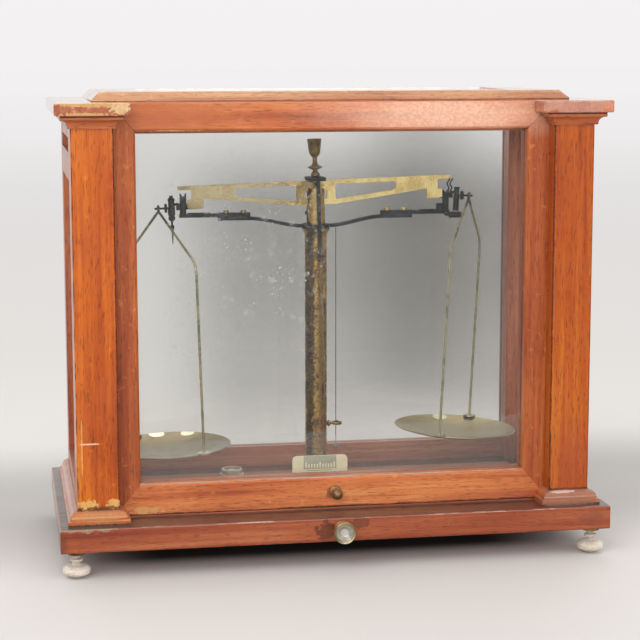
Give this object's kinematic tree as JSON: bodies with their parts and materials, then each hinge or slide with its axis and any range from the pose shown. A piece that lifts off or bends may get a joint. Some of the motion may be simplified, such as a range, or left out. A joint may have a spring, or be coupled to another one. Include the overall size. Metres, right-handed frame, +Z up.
{
  "type": "knife-edge apothecary balance in a glazed case",
  "caption": "Equal-arm pharmacy balance with bow-hung pans on a brass column, in a glazed mahogany case with a counterweighted front sash and levelling feet.",
  "frame": {"origin": "centre of the footprint, on the plane the feet stand on", "axes": "+X to the right seen from the sash side, +Y to the back, +Z up"},
  "size_m": [0.46, 0.2434, 0.39],
  "materials": {
    "mahogany": "worn french polish",
    "rail_wood": "worn french polish, redder",
    "pane": "dusty old glass",
    "beam_brass": "pale lacquered, mottled",
    "aged_brass": "aged lacquer, brown spots",
    "blued_steel": "dark, blued",
    "nickel": "tarnished nickel plate",
    "ivory": "ivory, satin",
    "agate": "polished agate",
    "iron": "rough",
    "cord": "twisted cotton"
  },
  "bodies": {
    "case": {"plinth": "mahogany", "floor_board": "rail_wood", "base_mouldings": "mahogany", "front_pilaster_left": "mahogany", "front_pilaster_right": "mahogany", "rear_posts": "mahogany", "side_rails": "rail_wood", "side_glasses": "pane", "back_rails": "rail_wood", "back_glass": "pane", "capitals": "mahogany", "cap_slabs": "mahogany", "top_rails": "rail_wood", "top_frame": "mahogany", "top_glass": "pane", "pulley_pins": "nickel", "sash_cords": "cord", "weight_cords": "cord", "cord_loops": "cord", "foot_sockets": "aged_brass", "rear_foot": "nickel", "level_case": "aged_brass", "level_glass": "pane", "scale_plate": "ivory", "scale_bracket": "aged_brass", "column_base": "aged_brass", "column_tube": "aged_brass", "column_collar": "aged_brass", "column_head": "aged_brass", "agate_planes": "agate", "plumb_eye": "aged_brass", "shaft_bushes": "aged_brass"},
    "sash": {"sash_frame": "rail_wood", "sash_glass": "pane", "sash_knob": "aged_brass"},
    "weights": {"counterweights": "iron"},
    "pulley_l": {"pulley_left": "aged_brass"},
    "pulley_r": {"pulley_right": "aged_brass"},
    "screw_l": {"levelling_screw_left": "nickel"},
    "screw_r": {"levelling_screw_right": "nickel"},
    "arrest_drive": {"arrest_shaft": "nickel", "arrest_cam": "nickel", "arrest_knob": "aged_brass"},
    "arrestment": {"lift_rod": "nickel", "arrest_arm": "blued_steel", "outer_arms": "blued_steel", "arm_screws": "beam_brass", "beam_rests": "blued_steel"},
    "plumb": {"plumb_bob": "nickel"},
    "beam": {"beam": "beam_brass", "knives": "blued_steel", "yoke_plate": "blued_steel", "pointer": "blued_steel"},
    "poise": {"poise_finial": "aged_brass"},
    "stirrup_l": {"stirrup_left": "blued_steel"},
    "stirrup_r": {"stirrup_right": "blued_steel"},
    "pan_l": {"hanger_left": "beam_brass", "pan_left": "beam_brass"},
    "pan_r": {"hanger_right": "beam_brass", "pan_right": "beam_brass"}
  },
  "joints": [
    {"name": "sash_slide", "type": "slide", "parent": "case", "child": "sash", "axis": [0, 0, 1], "range_m": [0, 0.2], "deforming": ["sash_cords"]},
    {"name": "weights_slide", "type": "slide", "parent": "case", "child": "weights", "axis": [0, 0, -1], "range_m": [0, 0.2], "deforming": ["weight_cords"]},
    {"name": "pulley_left_turn", "type": "hinge", "parent": "case", "child": "pulley_l", "pos_m": [-0.19035, -0.06535, 0.3565], "axis": [0, 1, 0], "range_deg": [-1500, 0]},
    {"name": "pulley_right_turn", "type": "hinge", "parent": "case", "child": "pulley_r", "pos_m": [0.19035, -0.06535, 0.3565], "axis": [0, 1, 0], "range_deg": [0, 1500]},
    {"name": "level_left_turn", "type": "hinge", "parent": "case", "child": "screw_l", "pos_m": [-0.217, -0.09525, 0], "axis": [0, 0, 1], "range_deg": [-1080, 1080]},
    {"name": "level_right_turn", "type": "hinge", "parent": "case", "child": "screw_r", "pos_m": [0.217, -0.09525, 0], "axis": [0, 0, 1], "range_deg": [-1080, 1080]},
    {"name": "arrest_knob_turn", "type": "hinge", "parent": "case", "child": "arrest_drive", "pos_m": [0, -0.10825, 0.033], "axis": [0, 1, 0], "range_deg": [0, 90]},
    {"name": "arrest_lift", "type": "slide", "parent": "case", "child": "arrestment", "axis": [0, 0, 1], "range_m": [0, 0.002]},
    {"name": "plumb_swing", "type": "hinge", "parent": "arrestment", "child": "plumb", "pos_m": [0.0178, 0.01875, 0.27094], "axis": [0, 1, 0], "range_deg": [-0.6, 0.6]},
    {"name": "beam_tilt", "type": "hinge", "parent": "case", "child": "beam", "pos_m": [0, 0.01875, 0.3065], "axis": [0, 1, 0], "range_deg": [0, 3.4]},
    {"name": "poise_turn", "type": "hinge", "parent": "beam", "child": "poise", "pos_m": [0, 0.01875, 0.3065], "axis": [-0.0297, 0, 0.9996], "range_deg": [-360, 360]},
    {"name": "stirrup_left_rock", "type": "hinge", "parent": "beam", "child": "stirrup_l", "pos_m": [-0.12582, 0.01875, 0.29526], "axis": [0, 1, 0], "range_deg": [-2.5, 2.5]},
    {"name": "stirrup_right_rock", "type": "hinge", "parent": "beam", "child": "stirrup_r", "pos_m": [0.12627, 0.01875, 0.30274], "axis": [0, 1, 0], "range_deg": [-2.5, 2.5]},
    {"name": "pan_left_swing", "type": "hinge", "parent": "stirrup_l", "child": "pan_l", "pos_m": [-0.13693, 0.01875, 0.28911], "axis": [-0.9995, 0, -0.0314], "range_deg": [-3.5, 3.5]},
    {"name": "pan_right_swing", "type": "hinge", "parent": "stirrup_r", "child": "pan_r", "pos_m": [0.13725, 0.01875, 0.29636], "axis": [0.9986, 0, -0.0523], "range_deg": [-3.5, 3.5]}
  ],
  "couplings": [
    {"joint": "weights_slide", "follows": "sash_slide", "ratio": 1},
    {"joint": "pulley_left_turn", "follows": "sash_slide", "rad_per_m": -130.72},
    {"joint": "pulley_right_turn", "follows": "sash_slide", "rad_per_m": 130.72},
    {"joint": "arrest_knob_turn", "follows": "arrest_lift", "rad_per_m": 785.39}
  ]
}
